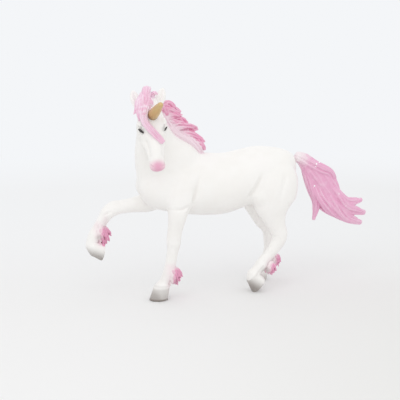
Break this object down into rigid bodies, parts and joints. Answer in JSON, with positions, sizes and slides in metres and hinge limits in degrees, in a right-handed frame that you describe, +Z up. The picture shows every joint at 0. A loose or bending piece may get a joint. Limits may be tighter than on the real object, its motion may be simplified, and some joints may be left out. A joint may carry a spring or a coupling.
{
  "type": "unicorn figurine",
  "caption": "Toy unicorn stepping out with a foreleg raised and its head turned to the side, with a horn, a swept mane, a full tail and feathered fetlocks.",
  "frame": {"origin": "on the ground under the middle of the figurine's overall box", "axes": "+Z up, +X towards the tail, so the unicorn walks towards -X, and -Y on its left side, which the head is turned to"},
  "size_m": [0.1506, 0.0496, 0.1059],
  "materials": {
    "body_white": "satin soft PVC, with the muzzle, hooves, eyes and fetlock feathers airbrushed in pink, grey and black",
    "hair_pink": "satin soft PVC, airbrushed pink that fades to white at the roots",
    "tail_pink": "satin soft PVC, airbrushed pink with fine glitter",
    "horn_gold": "metallic gold paint"
  },
  "bodies": {
    "root": {"torso": "body_white", "head_and_neck": "body_white", "left_foreleg": "body_white", "right_foreleg": "body_white", "left_hind_leg": "body_white", "right_hind_leg": "body_white", "horn": "horn_gold", "forelock": "hair_pink", "mane": "hair_pink", "tail": "tail_pink"}
  },
  "joints": []
}
